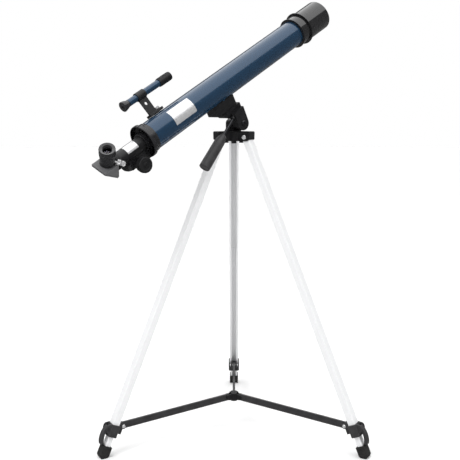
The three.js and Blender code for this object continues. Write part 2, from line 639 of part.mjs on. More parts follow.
function finderFront() {
  const ribs = [];
  for (let k = 0; k < 12; k += 1) {
    ribs.push(box([7.9, 8.5], [FINDER_FRONT - 28, FINDER_FRONT - 2], [-0.7, 0.7]).rotateY(k * 30 * DEG));
  }
  const cell = ring(FINDER_R + GAP, 8.1, FINDER_FRONT - 30, FINDER_FRONT, 20);
  const lip = ring(5.4, FINDER_R + 1, FINDER_FRONT - 8, FINDER_FRONT - 6, 20);
  return join(cell, lip, ...ribs);
}

function finderEyepiece() {
  return turned([
    [2.2, FINDER_BACK], [9.6, FINDER_BACK], [10, FINDER_BACK + 1.2], [9.2, FINDER_BACK + 4],
    [7.2, FINDER_BACK + 9], [FINDER_R, FINDER_BACK + 13], [FINDER_R, FINDER_BACK + 14],
    [5.2, FINDER_BACK + 14], [5.2, FINDER_BACK + 22], [4, FINDER_BACK + 22], [2.2, FINDER_BACK + 6],
    [2.2, FINDER_BACK],
  ], 20);
}

function addFinder(ota) {
  const finder = frameIn(ota, [0, 0, 0], [0, FINDER_ROLL, 0]);
  const sight = frameIn(finder, [0, 0, FINDER_D]);
  const tube = ring(5.6, FINDER_R, FINDER_BACK + 14 + GAP, FINDER_FRONT - 8 - GAP, 20);
  piece(sight, 'finder_tube', tube, navyPaint);
  piece(sight, 'finder_bracket', finderBracket(), blackPlastic);
  piece(sight, 'finder_front_cell', finderFront(), blackPlastic);
  piece(sight, 'finder_eyepiece', finderEyepiece(), blackPlastic);
  const lensY = FINDER_FRONT - 6 + GAP;
  const lens = turned([[0, lensY], [6.5, lensY], [6.5, lensY + 1.6], [0, lensY + 2.6]], 20);
  piece(sight, 'finder_lens', lens, clearGlass);
  const nut = thumbscrew(1.5, 5 + GAP, 4.2, 5).rotateX(90 * DEG).translate(0, FINDER_RING_Y + 14, 27.4);
  piece(finder, 'finder_nut', nut, chrome);
}

// Moves a group so that its box stands on z = 0 and is centred on the origin.
function centreOnFloor(group) {
  const bounds = new THREE.Box3().setFromObject(group, true);
  const middle = bounds.getCenter(new THREE.Vector3());
  group.position.set(-middle.x, -middle.y, -bounds.min.z);
  group.updateMatrixWorld(true);
}

const telescopeOnTripod = new THREE.Group();
telescopeOnTripod.name = 'telescope_on_tripod';
addTripod(telescopeOnTripod);
const tiltFrame = addHead(telescopeOnTripod);
const opticalTube = frameIn(tiltFrame, [0, 0, TUBE_ABOVE_TILT]);
addTube(opticalTube);
addFocuser(opticalTube);
addDiagonal(opticalTube);
addFinder(opticalTube);
centreOnFloor(telescopeOnTripod);

export default telescopeOnTripod;
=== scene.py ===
"""A small refractor telescope on a pan and tilt head and a tripod, in a plain studio.

Each piece is drawn in millimetres in the local frame of the part that it belongs to. Those
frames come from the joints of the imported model, and the pieces are set down in metres.
"""
import json
import math

import bmesh
import bpy
from mathutils import Matrix, Vector


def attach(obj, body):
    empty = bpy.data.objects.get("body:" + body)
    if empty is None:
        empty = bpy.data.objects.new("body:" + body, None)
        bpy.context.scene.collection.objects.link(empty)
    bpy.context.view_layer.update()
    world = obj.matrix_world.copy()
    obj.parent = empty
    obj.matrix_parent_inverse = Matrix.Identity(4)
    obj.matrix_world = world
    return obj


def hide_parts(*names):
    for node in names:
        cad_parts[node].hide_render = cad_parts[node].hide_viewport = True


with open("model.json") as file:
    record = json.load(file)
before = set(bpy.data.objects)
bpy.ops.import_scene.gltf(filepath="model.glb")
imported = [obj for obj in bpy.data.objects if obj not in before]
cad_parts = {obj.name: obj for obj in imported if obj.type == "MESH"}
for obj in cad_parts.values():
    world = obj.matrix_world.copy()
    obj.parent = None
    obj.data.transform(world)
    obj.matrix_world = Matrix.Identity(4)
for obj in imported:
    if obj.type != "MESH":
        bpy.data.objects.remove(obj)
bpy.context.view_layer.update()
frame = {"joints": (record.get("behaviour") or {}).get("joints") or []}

# ------------------------------------------------------------------ sizes, in millimetres

MM = 0.001
ROUND = 96                  # sides of a round piece

LEG_TOP, LEG_END = 6, 594   # along a leg, above and below its pivot
LEG_W, LEG_D = 19, 13.5
INNER_TOP, INNER_END = 268, 628
INNER_W, INNER_D = 15.6, 10.1
LEG_WALL = 1.2
COLLAR_TOP, COLLAR_END = 575, 598
COLLAR_W, COLLAR_D = 24, 18
FOOT_TOP = 616
ARM_PIVOT = (-16.2, -574.3)     # across and along the leg
LEVER_PIVOT = (12.6, -584)
ARM_HALF = 6.2
HUB_Z, HUB_PIVOT_R = 66.6, 14
CROWN_TOP, CROWN_BOTTOM, CROWN_R, CROWN_HALF_W = 598.5, 579.5, 40.4, 11.3
LEG_PIVOT_R, LEG_PIVOT_Z = 29.2, 587

TUBE_ABOVE_TILT = 80.25
TUBE_R, TUBE_REAR, TUBE_FRONT = 27, -192, 233
SHIELD_REAR, SHIELD_FRONT, SHIELD_R = 257, 323.5, 31.4
CELL_REAR = -210
DRAW_R, DRAW_REAR, DRAW_FRONT = 13.6, -272, -138
PINION_Y, PINION_Z = -241, -27
RACK_PITCH, GEAR_TEETH = 3.4, 10
DRAW_SCREW_Y, DRAW_SCREW_TURN = DRAW_REAR - 4.5, 98
EYE_SCREW_Z, EYE_SCREW_TURN = 17.2, -58
HOUSING_HALF, HOUSING_TOP, HOUSING_FRONT = 16.5, 12, 11
DIAGONAL_Y = -295
MIRROR_BACK = 8
FINDER_ROLL, FINDER_D, FINDER_RING_Y, FINDER_R = -24, 71, -155, 6.6
FINDER_BACK, FINDER_FRONT = FINDER_RING_Y - 44, FINDER_RING_Y + 78

CEILING_FROM = 0.57         # sine of the elevation where the bright ceiling begins
CEILING_LIGHT = 1.9
WALL_LIGHT = 0.1            # share of the ceiling's brightness

CAMERA_LENS = 64.9
CAMERA_SHIFT = (-0.0085, -0.130)
CAMERA_BACK = 1.6293        # metres in front of the pan axis
CAMERA_HEIGHT = 0.6463      # metres
CAMERA_DIP = 4.38           # degrees below level

# ------------------------------------------------------------------ frames

JOINTS = {joint["name"]: joint for joint in frame["joints"]}


def joint_at(name):
    return Vector(JOINTS[name]["pos_m"])


def joint_axis(name):
    return Vector(JOINTS[name]["axis"]).normalized()


def local_frame(origin, x_axis, y_axis):
    """The matrix from local millimetres to the row frame's metres."""
    z_axis = x_axis.cross(y_axis).normalized()
    y_axis = z_axis.cross(x_axis).normalized()
    turn = Matrix((x_axis, y_axis, z_axis)).transposed().to_4x4()
    return Matrix.Translation(origin) @ turn @ Matrix.Scale(MM, 4)


UP = Vector((0, 0, 1))
PAN_AXIS = Vector((joint_at("pan_turn").x, joint_at("pan_turn").y, 0))
SIDE = joint_axis("tilt")
FORWARD = -joint_axis("focus_travel")
TILT = local_frame(joint_at("tilt"), SIDE, FORWARD)
PAN = local_frame(joint_at("tilt"), SIDE, UP.cross(SIDE))
OTA = TILT @ Matrix.Translation((0, 0, TUBE_ABOVE_TILT))
HANDLE = local_frame(joint_at("handle_twist"), SIDE, joint_axis("handle_twist"))
PINION = local_frame(joint_at("focus_knob_turn"), SIDE, FORWARD)
EYE_AXIS = joint_axis("eyepiece_slide")
DIAGONAL = local_frame(joint_at("diagonal_turn"), FORWARD.cross(EYE_AXIS), FORWARD)
FINDER = OTA @ Matrix.Rotation(math.radians(FINDER_ROLL), 4, "Y")
SIGHT = FINDER @ Matrix.Translation((0, 0, FINDER_D))
CENTRE = local_frame(PAN_AXIS, Vector((1, 0, 0)), Vector((0, 1, 0)))


def sector_frame(n):
    """On the floor under the pan axis, with X outwards below leg n."""
    downward = joint_axis(f"leg_extend_{n}")
    outward = Vector((downward.x, downward.y, 0)).normalized()
    return local_frame(PAN_AXIS, outward, UP.cross(outward))


def leg_frame(n):
    """At leg n's rivet, with Z up along the leg."""
    upward = -joint_axis(f"leg_extend_{n}")
    sector = sector_frame(n)
    tangent = sector.col[1].xyz.normalized()
    return local_frame(sector @ Vector((LEG_PIVOT_R, 0, LEG_PIVOT_Z)), tangent.cross(upward), tangent)


def arm_frame(n):
    """From the hub's pin, with X along the arm to its outer eye, and the arm's length."""
    sector = sector_frame(n)
    inner = sector @ Vector((HUB_PIVOT_R, 0, HUB_Z))
    outer = leg_frame(n) @ Vector((ARM_PIVOT[0], 0, ARM_PIVOT[1]))
    reach = outer - inner
    return local_frame(inner, reach.normalized(), sector.col[1].xyz.normalized()), reach.length / MM


# ------------------------------------------------------------------ materials


def material(name, base, roughness, **sockets):
    """A shader with constant sockets, and its nodes for the helpers below."""
    mat = bpy.data.materials.new(name)
    mat.use_nodes = True
    shader = mat.node_tree.nodes["Principled BSDF"]
    shader.inputs["Base Color"].default_value = (*base, 1)
    shader.inputs["Roughness"].default_value = roughness
    for socket, value in sockets.items():
        shader.inputs[socket.replace("_", " ")].default_value = value
    return mat


def noise(mat, stretch, detail=3, rough=0.55):
    """Noise over the piece's own millimetres; stretch is its frequency along X, Y and Z."""
    nodes, links = mat.node_tree.nodes, mat.node_tree.links
    local = nodes.new("ShaderNodeAttribute")
    local.attribute_name = "local_mm"
    mapping = nodes.new("ShaderNodeMapping")
    mapping.inputs["Scale"].default_value = stretch
    texture = nodes.new("ShaderNodeTexNoise")
    texture.inputs["Scale"].default_value = 1
    texture.inputs["Detail"].default_value = detail
    texture.inputs["Roughness"].default_value = rough
    links.new(local.outputs["Vector"], mapping.inputs["Vector"])
    links.new(mapping.outputs["Vector"], texture.inputs["Vector"])
    return texture.outputs["Fac"]


def colour_from(mat, factor, dark, light, low=0.3, high=0.7):
    ramp = mat.node_tree.nodes.new("ShaderNodeValToRGB")
    ramp.color_ramp.elements[0].position = low
    ramp.color_ramp.elements[0].color = (*dark, 1)
    ramp.color_ramp.elements[1].position = high
    ramp.color_ramp.elements[1].color = (*light, 1)
    mat.node_tree.links.new(factor, ramp.inputs["Fac"])
    mat.node_tree.links.new(ramp.outputs["Color"], shader_of(mat).inputs["Base Color"])


def roughness_from(mat, factor, low, high):
    spread = mat.node_tree.nodes.new("ShaderNodeMapRange")
    spread.inputs["From Min"].default_value = 0.3
    spread.inputs["From Max"].default_value = 0.7
    spread.inputs["To Min"].default_value = low
    spread.inputs["To Max"].default_value = high
    mat.node_tree.links.new(factor, spread.inputs["Value"])
    mat.node_tree.links.new(spread.outputs["Result"], shader_of(mat).inputs["Roughness"])


def relief_from(mat, factor, depth_mm, strength=1.0):
    bump = mat.node_tree.nodes.new("ShaderNodeBump")
    bump.inputs["Strength"].default_value = strength
    bump.inputs["Distance"].default_value = depth_mm * MM
    mat.node_tree.links.new(factor, bump.inputs["Height"])
    mat.node_tree.links.new(bump.outputs["Normal"], shader_of(mat).inputs["Normal"])


def shader_of(mat):
    return mat.node_tree.nodes["Principled BSDF"]


def navy_enamel():
    mat = material("navy_enamel", (0.012, 0.045, 0.09), 0.3, Metallic=0.35,
                   Coat_Weight=1.0, Coat_Roughness=0.03, Coat_IOR=1.38,
                   Specular_IOR_Level=0.25)
    colour_from(mat, noise(mat, (3.0, 3.0, 3.0), 2), (0.010, 0.036, 0.078), (0.016, 0.050, 0.100))
    roughness_from(mat, noise(mat, (0.05, 0.02, 0.05)), 0.2, 0.3)
    relief_from(mat, noise(mat, (0.3, 0.3, 0.3), 1), 0.001)
    return mat


def gloss_black():
    mat = material("gloss_black", (0.012, 0.012, 0.013), 0.12, Coat_Weight=0.4, Coat_Roughness=0.05)
    colour_from(mat, noise(mat, (0.1, 0.1, 0.1)), (0.009, 0.009, 0.010), (0.015, 0.015, 0.016))
    roughness_from(mat, noise(mat, (0.12, 0.04, 0.12), 4), 0.08, 0.17)
    relief_from(mat, noise(mat, (0.3, 0.3, 0.3), 1), 0.001)
    return mat


def moulded_black():
    mat = material("moulded_black", (0.01, 0.01, 0.011), 0.42, Specular_IOR_Level=0.36)
    colour_from(mat, noise(mat, (0.08, 0.08, 0.08), 4), (0.007, 0.007, 0.008), (0.013, 0.013, 0.014))
    roughness_from(mat, noise(mat, (0.15, 0.15, 0.15), 4), 0.34, 0.5)
    relief_from(mat, noise(mat, (2.4, 2.4, 2.4), 2), 0.05, 0.6)
    return mat


def glossy_moulding():
    """The smooth moulded black of the focuser and the diagonal, with a soft shine."""
    mat = material("glossy_moulding", (0.012, 0.012, 0.013), 0.25, Specular_IOR_Level=0.5)
    colour_from(mat, noise(mat, (0.1, 0.1, 0.1), 4), (0.010, 0.010, 0.011), (0.018, 0.018, 0.020))
    roughness_from(mat, noise(mat, (0.2, 0.2, 0.2), 4), 0.2, 0.32)
    relief_from(mat, noise(mat, (0.8, 0.8, 0.8), 1), 0.004, 0.4)
    return mat


def flocked_black():
    mat = material("flocked_black", (0.006, 0.006, 0.006), 0.85, Specular_IOR_Level=0.2)
    relief_from(mat, noise(mat, (3.0, 3.0, 3.0), 2), 0.08, 0.7)
    return mat


def moulded_grey():
    mat = material("moulded_grey", (0.09, 0.09, 0.094), 0.5)
    colour_from(mat, noise(mat, (0.05, 0.05, 0.05), 4), (0.08, 0.08, 0.083), (0.11, 0.11, 0.114))
    roughness_from(mat, noise(mat, (0.1, 0.1, 0.1)), 0.42, 0.58)
    relief_from(mat, noise(mat, (2.0, 2.0, 2.0), 2), 0.05, 0.5)
    return mat


def moulded_charcoal():
    """The slightly greyer plastic of the arms, collars, levers and handle."""
    mat = material("moulded_charcoal", (0.035, 0.034, 0.036), 0.45, Specular_IOR_Level=0.4)
    colour_from(mat, noise(mat, (0.06, 0.06, 0.06), 4), (0.028, 0.0275, 0.029), (0.044, 0.043, 0.045))
    roughness_from(mat, noise(mat, (0.15, 0.15, 0.15), 4), 0.36, 0.52)
    relief_from(mat, noise(mat, (2.4, 2.4, 2.4), 2), 0.04, 0.5)
    return mat


def satin_aluminium():
    mat = material("satin_aluminium", (0.82, 0.83, 0.85), 0.3, Metallic=0.15)
    drawn = noise(mat, (5.0, 5.0, 0.03), 4)
    colour_from(mat, drawn, (0.86, 0.865, 0.875), (0.94, 0.943, 0.95))
    roughness_from(mat, drawn, 0.27, 0.41)
    relief_from(mat, noise(mat, (7.0, 7.0, 0.05), 2), 0.01, 0.5)
    return mat


def bright_chrome():
    mat = material("bright_chrome", (0.88, 0.88, 0.89), 0.16, Metallic=0.65)
    colour_from(mat, noise(mat, (0.5, 0.5, 0.5)), (0.84, 0.84, 0.85), (0.92, 0.92, 0.93))
    roughness_from(mat, noise(mat, (1.0, 1.0, 1.0)), 0.12, 0.22)
    return mat


def blackened_steel():
    mat = material("blackened_steel", (0.05, 0.05, 0.055), 0.32, Metallic=0.9)
    colour_from(mat, noise(mat, (0.6, 0.6, 0.6)), (0.04, 0.04, 0.044), (0.07, 0.07, 0.075))
    roughness_from(mat, noise(mat, (4.0, 0.3, 4.0)), 0.25, 0.4)
    return mat


def black_rubber():
    mat = material("black_rubber", (0.018, 0.018, 0.018), 0.75, Specular_IOR_Level=0.3)
    colour_from(mat, noise(mat, (0.3, 0.3, 0.3), 4), (0.013, 0.013, 0.013), (0.028, 0.027, 0.026))
    relief_from(mat, noise(mat, (1.5, 1.5, 1.5), 3), 0.08, 0.8)
    return mat


def coated_glass():
    mat = material("coated_glass", (0.93, 0.96, 1.0), 0.02, IOR=1.52, Transmission_Weight=1.0,
                   Thin_Film_Thickness=120.0, Thin_Film_IOR=1.38)
    roughness_from(mat, noise(mat, (0.1, 0.1, 0.1)), 0.0, 0.03)
    return mat


def silvered():
    mat = material("silvered", (0.9, 0.91, 0.92), 0.03, Metallic=1.0)
    roughness_from(mat, noise(mat, (0.4, 0.4, 0.4)), 0.02, 0.06)
    return mat


def label_foil():
    mat = material("label_foil", (0.7, 0.7, 0.71), 0.28, Metallic=0.6,
                   Coat_Weight=0.3, Coat_Roughness=0.1)
    colour_from(mat, noise(mat, (0.15, 0.15, 0.15), 4), (0.64, 0.64, 0.65), (0.74, 0.74, 0.75))
    relief_from(mat, noise(mat, (0.8, 0.8, 0.8)), 0.01, 0.4)
    return mat


NAVY = navy_enamel()
GLOSS = gloss_black()
BLACK = moulded_black()
SHEEN = glossy_moulding()
FLOCK = flocked_black()
GREY = moulded_grey()
CHARCOAL = moulded_charcoal()
ALUMINIUM = satin_aluminium()
CHROME = bright_chrome()
STEEL = blackened_steel()
RUBBER = black_rubber()
GLASS = coated_glass()
SILVER = silvered()
LABEL = label_foil()

# ------------------------------------------------------------------ outlines


def arc(centre, radius, start, end, steps=8):
    """Points on an arc, in degrees from the first axis towards the second."""
    angles = [math.radians(start + (end - start) * i / steps) for i in range(steps + 1)]
    return [(centre[0] + radius * math.cos(a), centre[1] + radius * math.sin(a)) for a in angles]


def curve(start, control, end, steps=8):
    """Points on a quadratic curve, without its first one."""
    points = []
    for i in range(1, steps + 1):
        t = i / steps
        weights = ((1 - t) ** 2, 2 * t * (1 - t), t * t)
        ends = (start, control, end)
        points.append(tuple(sum(w * p[axis] for w, p in zip(weights, ends)) for axis in (0, 1)))
    return points


def eased(points, radius, closed=True, steps=3):
    """The outline with each real corner rounded. An open one keeps its two ends."""
    result = []
    count = len(points)
    for i, point in enumerate(points):
        here = Vector(point)
        if not closed and i in (0, count - 1):
            result.append(tuple(here))
            continue
        back = Vector(points[i - 1]) - here
        ahead = Vector(points[(i + 1) % count]) - here
        if back.length < 1e-6 or ahead.length < 1e-6 or back.angle(-ahead) < math.radians(18):
            result.append(tuple(here))
            continue
        trim = min(radius, back.length * 0.45, ahead.length * 0.45)
        start = here + back.normalized() * trim
        end = here + ahead.normalized() * trim
        result.append(tuple(start))
        result.extend(curve(start, here, end, steps))
    return result


def rounded_rect(width, height, radius, steps=6):
    w, h = width / 2 - radius, height / 2 - radius
    return (arc((w, h), radius, 0, 90, steps) + arc((-w, h), radius, 90, 180, steps)
            + arc((-w, -h), radius, 180, 270, steps) + arc((w, -h), radius, 270, 360, steps))


# ------------------------------------------------------------------ solids


def solid_from(bm):
    bmesh.ops.remove_doubles(bm, verts=bm.verts, dist=1e-4)
    bmesh.ops.recalc_face_normals(bm, faces=bm.faces)
    mesh = bpy.data.meshes.new("solid")
    bm.to_mesh(mesh)
    bm.free()
    obj = bpy.data.objects.new("solid", mesh)
    bpy.context.scene.collection.objects.link(obj)
    return obj


def lathe(points, ease=0.4, steps=ROUND, flutes=0, flute_depth=0.35, flute_above=1e9):
    """Turns an outline of (radius, y) about Y. It starts and ends on the axis, or is a closed
    ring. Radii above flute_above get that many grip flutes."""
    on_axis = points[0][0] < 1e-6 and points[-1][0] < 1e-6
    profile = eased(points, ease, closed=not on_axis)
    bm = bmesh.new()
    rings = []
    for radius, y in profile:
        if radius < 1e-6:
            rings.append([bm.verts.new((0, y, 0))])
            continue
        ring = []
        for i in range(steps):
            turn = 2 * math.pi * i / steps
            dip = flute_depth * (0.5 - 0.5 * math.cos(flutes * turn)) if radius > flute_above else 0
            ring.append(bm.verts.new(((radius - dip) * math.sin(turn), y, (radius - dip) * math.cos(turn))))
        rings.append(ring)
    follower = rings[1:] if on_axis else rings[1:] + rings[:1]
    for low, high in zip(rings, follower):
        join_rings(bm, low, high, steps)
    return solid_from(bm)


def join_rings(bm, low, high, steps):
    for i in range(steps):
        after = (i + 1) % steps
        if len(low) == 1 and len(high) == 1:
            return
        if len(low) == 1:
            bm.faces.new((low[0], high[i], high[after]))
        elif len(high) == 1:
            bm.faces.new((low[i], low[after], high[0]))
        else:
            bm.faces.new((low[i], low[after], high[after], high[i]))


PLANES = {
    "yz": lambda a, b, depth: (depth, a, b),
    "xz": lambda a, b, depth: (a, depth, b),
    "xy": lambda a, b, depth: (a, b, depth),
}


def prism(points, low, high, plane, ease=0.4):
    """An outline pushed through its plane from low to high, with eased edges."""
    bm = bmesh.new()
    place = PLANES[plane]
    befores = points[-1:] + points[:-1]
    points = [p for p, before in zip(points, befores) if math.dist(p, before) > 1e-4]
    bottom = [bm.verts.new(place(a, b, low)) for a, b in points]
    top = [bm.verts.new(place(a, b, high)) for a, b in points]
    bm.faces.new(bottom)
    bm.faces.new(top)
    count = len(points)
    for i in range(count):
        after = (i + 1) % count
        bm.faces.new((bottom[i], bottom[after], top[after], top[i]))
    bmesh.ops.recalc_face_normals(bm, faces=bm.faces)
    if ease:
        sharp = [edge for edge in bm.edges if edge.calc_face_angle(0) > math.radians(32)]
        bmesh.ops.bevel(bm, geom=sharp, offset=ease, segments=2, profile=0.6, affect="EDGES",
                        clamp_overlap=True)
    return solid_from(bm)


def block(x, y, z, ease=0.4):
    corners = [(x[0], y[0]), (x[1], y[0]), (x[1], y[1]), (x[0], y[1])]
    return prism(corners, z[0], z[1], "xy", ease)


def rod(radius, low, high, ease=0.3, steps=ROUND):
    return lathe([(0, low), (radius, low), (radius, high), (0, high)], ease, steps)


def hole(radius, low, high, steps=48):
    return rod(radius, low, high, 0, steps)


def tube(inner, outer, low, high, ease=0.3):
    return lathe([(inner, low), (outer, low), (outer, high), (inner, high)], ease)


def turned(obj, degrees, axis):
    obj.data.transform(Matrix.Rotation(math.radians(degrees), 4, axis))
    return obj


def along_x(obj):
    return turned(obj, -90, "Z")


def along_z(obj):
    return turned(obj, 90, "X")


def moved(obj, x, y, z):
    obj.data.transform(Matrix.Translation((x, y, z)))
    return obj


def settle(obj):
    """Applies the piece's modifiers to its mesh."""
    shown = obj.evaluated_get(bpy.context.evaluated_depsgraph_get())
    mesh = bpy.data.meshes.new_from_object(shown)
    obj.modifiers.clear()
    obj.data = mesh
    return obj


def require_closed(obj):
    """A solid that isn't closed would be skipped without a word when it is cut or fused."""
    bm = bmesh.new()
    bm.from_mesh(obj.data)
    open_edges = [edge for edge in bm.edges if len(edge.link_faces) != 2]
    bm.free()
    if open_edges:
        low, high = Vector(obj.bound_box[0]), Vector(obj.bound_box[6])
        raise ValueError(f"a solid from {low} to {high} has {len(open_edges)} open edges")


def combine(obj, others, operation):
    for solid in (obj, *others):
        require_closed(solid)
    for other in others:
        step = obj.modifiers.new("step", "BOOLEAN")
        step.object = other
        step.operation = operation
        step.solver = "MANIFOLD"
    settle(obj)
    for other in others:
        bpy.data.objects.remove(other)
    return obj


def fuse(obj, *others):
    return combine(obj, others, "UNION")


def cut(obj, *others):
    return combine(obj, others, "DIFFERENCE")


def soften(obj, width, segments=2):
    """Rounds the sharp edges that are left after cutting and fusing."""
    bevel = obj.modifiers.new("edges", "BEVEL")
    bevel.width = width
    bevel.segments = segments
    bevel.limit_method = "ANGLE"
    bevel.angle_limit = math.radians(38)
    bevel.miter_outer = "MITER_ARC"
    return settle(obj)


def stack(*objs):
    """Several separate solids as one piece."""
    bm = bmesh.new()
    for obj in objs:
        bm.from_mesh(obj.data)
    for obj in objs:
        bpy.data.objects.remove(obj)
    mesh = bpy.data.meshes.new("stack")
    bm.to_mesh(mesh)
    bm.free()
    joined = bpy.data.objects.new("stack", mesh)
    bpy.context.scene.collection.objects.link(joined)
    return joined


def put(obj, name, place, body, mat, nodes=(), inside=None):
    """Sets a finished piece down. inside is the material for faces that look at the Y axis."""
    obj.name = name
    mesh = obj.data
    local = mesh.attributes.new("local_mm", "FLOAT_VECTOR", "POINT")
    local.data.foreach_set("vector", [value for vertex in mesh.vertices for value in vertex.co])
    mesh.materials.clear()
    mesh.materials.append(mat)
    if inside:
        mesh.materials.append(inside)
        for face in mesh.polygons:
            across = Vector((face.center.x, 0, face.center.z))
            face.material_index = 1 if face.normal.dot(across) < -0.1 * across.length else 0
    mesh.transform(place)
    mesh.shade_smooth()
    mesh.set_sharp_from_angle(angle=math.radians(34))
    weighted = obj.modifiers.new("normals", "WEIGHTED_NORMAL")
    weighted.keep_sharp = True
    settle(obj)
    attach(obj, body)
    if nodes:
        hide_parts(*nodes)
    return obj


# ------------------------------------------------------------------ tripod


def channel(width, depth, lip, low, high):
    """A C-shaped channel along Z, open towards -X."""
    half_w, half_d = width / 2, depth / 2
    outer = [(-half_d, half_w - lip), (-half_d, half_w), (half_d, half_w),
             (half_d, -half_w), (-half_d, -half_w), (-half_d, lip - half_w)]
    inner = [(-half_d + LEG_WALL, lip - half_w), (-half_d + LEG_WALL, LEG_WALL - half_w),
             (half_d - LEG_WALL, LEG_WALL - half_w), (half_d - LEG_WALL, half_w - LEG_WALL),
             (-half_d + LEG_WALL, half_w - LEG_WALL), (-half_d + LEG_WALL, half_w - lip)]
    outline = eased(outer, 1.8, closed=False, steps=4) + eased(inner, 0.8, closed=False, steps=3)
    return prism(outline, low, high, "xy", 0.15)


def rivet(radius, half_length, head):
    angles = [math.radians(18 * i) for i in range(6)]
    dome = [(head * math.cos(a), 0.8 + 1.4 * math.sin(a)) for a in angles]
    dome[-1] = (0, dome[-1][1])
    near = [(r, -half_length - y) for r, y in reversed(dome)]
    far = [(r, half_length + y) for r, y in dome]
    shank = [(head, -half_length), (radius, -half_length), (radius, half_length), (head, half_length)]
    return lathe(near + shank + far, 0.15, 48)


def add_legs(n):
    place = leg_frame(n)
    upper = cut(channel(LEG_W, LEG_D, 3.9, -LEG_END, LEG_TOP), hole(2.7, -15, 15))
    put(upper, f"leg_upper_channel_{n}", place, "stand", ALUMINIUM, [f"upper_leg_{n}"])
    lower = channel(INNER_W, INNER_D, 3.4, -INNER_END, -INNER_TOP)
    put(lower, f"leg_lower_channel_{n}", place, f"extension_{n}", ALUMINIUM, [f"lower_leg_{n}"])
    pivot = rivet(2.4, CROWN_HALF_W + 0.3, 4.4)
    put(pivot, f"leg_rivet_{n}", place, "stand", CHROME, [f"leg_pin_{n}"])
    pin = moved(rivet(2, 7.3, 3.4), ARM_PIVOT[0], 0, ARM_PIVOT[1])
    put(pin, f"arm_rivet_{n}", place, "stand", CHROME, [f"arm_pin_{n}"])


def collar():
    """The moulded sleeve at the end of the upper leg, with a fork inside and lever ears outside."""
    shell = prism(rounded_rect(COLLAR_D, COLLAR_W, 3.4), -COLLAR_END, -COLLAR_TOP, "xy", 0.8)
    lug_x, lug_z = ARM_PIVOT
    lug = fuse(block((lug_x, -8), (-7, 7), (-COLLAR_END + 8, lug_z + 5.5), 0),
               moved(rod(5.5, -7, 7, 0.5, 48), lug_x, 0, lug_z))
    top = (4, -COLLAR_TOP)
    crest = (16.4, LEVER_PIVOT[1] + 1)
    hump = [(4, -COLLAR_END + 4), top] + curve(top, (16.4, -COLLAR_TOP - 1), crest)
    hump += curve(crest, (16.4, -COLLAR_END + 6), (9.6, -COLLAR_END + 4))
    ears = cut(prism(hump, -9.5, 9.5, "xz", 0.7), block((9.5, 30), (-6.4, 6.4), (-700, -500), 0))
    half_d, half_w = LEG_D / 2 + 0.3, LEG_W / 2 + 0.3
    inner_d, inner_w = INNER_D / 2 + 0.3, INNER_W / 2 + 0.3
    body = fuse(shell, ears, lug)
    body = cut(
        body,
        block((-half_d, half_d), (-half_w, half_w), (-LEG_END - 0.3, -500), 0),
        block((-inner_d, inner_d), (-inner_w, inner_w), (-700, -500), 0),
        block((lug_x - 8, -LEG_D / 2 - 2.6), (-3.4, 3.4), (-700, -500), 0),
        moved(hole(2.3, -15, 15), lug_x, 0, lug_z),
        moved(hole(1.9, -15, 15), LEVER_PIVOT[0], 0, LEVER_PIVOT[1]),
    )
    return soften(body, 0.35)


def clamp_lever():
    """A curved blade that hangs outside the leg, drawn round its own pin, with grip ribs."""
    root, belly, tip = (1.9, 1.9), (5.6, -18), (1, -33)
    blade = [root] + curve(root, (6.4, -7), belly) + curve(belly, (5, -27), tip)
    blade += [(-3.4, -29.5)] + curve((-3.4, -29.5), (0.4, -22), (0.8, -14)) + [(-1.4, -2.6)]
    grip = prism(blade, -6, 6, "xz", 0.5)
    ribs = [block((2, 4.9 - 0.45 * i), (-4.6, 4.6), (-20.6 - 2.3 * i, -19.6 - 2.3 * i), 0.2)
            for i in range(5)]
    body = fuse(grip, rod(2.9, -6, 6, 0.3, 48), rod(1.6, -9.2, 9.2, 0.2, 32), *ribs)
    return soften(body, 0.2)


def foot(floor_at, lean):
    """The rubber foot, level on its sole when the legs are spread, with grooves across it."""
    def sole(x):
        return -floor_at - x * math.tan(lean)
    outline = [(-8.4, -FOOT_TOP), (-8.4, sole(-8.4) + 2.5), (-6, sole(-6)), (4.2, sole(4.2)),
               (8.4, sole(8.4) + 6.5), (8.4, -FOOT_TOP)]
    body = prism(eased(outline, 1.2), -9.5, 9.5, "xz", 0.8)
    socket = block((-INNER_D / 2 - 0.3, INNER_D / 2 + 0.3), (-INNER_W / 2 - 0.3, INNER_W / 2 + 0.3),
                   (-INNER_END - 0.3, -500), 0)
    tilt = math.degrees(lean)
    treads = [moved(turned(block((-0.6, 0.6), (-12, 12), (-1, 1), 0), tilt, "Y"), x, 0, sole(x))
              for x in (-4, -0.8, 2.4)]
    rims = [block((-9, 9), (-10, -9.1), (-FOOT_TOP - 6.4, -FOOT_TOP - 5.6), 0),
            block((-9, 9), (9.1, 10), (-FOOT_TOP - 6.4, -FOOT_TOP - 5.6), 0)]
    return soften(cut(body, socket, *treads, *rims), 0.25)


def add_leg_fittings(n):
    place = leg_frame(n)
    lean = math.acos(-joint_axis(f"leg_extend_{n}").z)
    floor_at = LEG_PIVOT_Z / math.cos(lean)
    put(collar(), f"leg_collar_{n}", place, "stand", CHARCOAL, [f"collar_{n}"])
    put(foot(floor_at, lean), f"leg_foot_{n}", place, f"extension_{n}", RUBBER, [f"foot_{n}"])
    pivot = place @ Matrix.Translation((LEVER_PIVOT[0], 0, LEVER_PIVOT[1]))
    put(clamp_lever(), f"leg_lever_{n}", pivot, f"lever_{n}", CHARCOAL, [f"clamp_lever_{n}"])


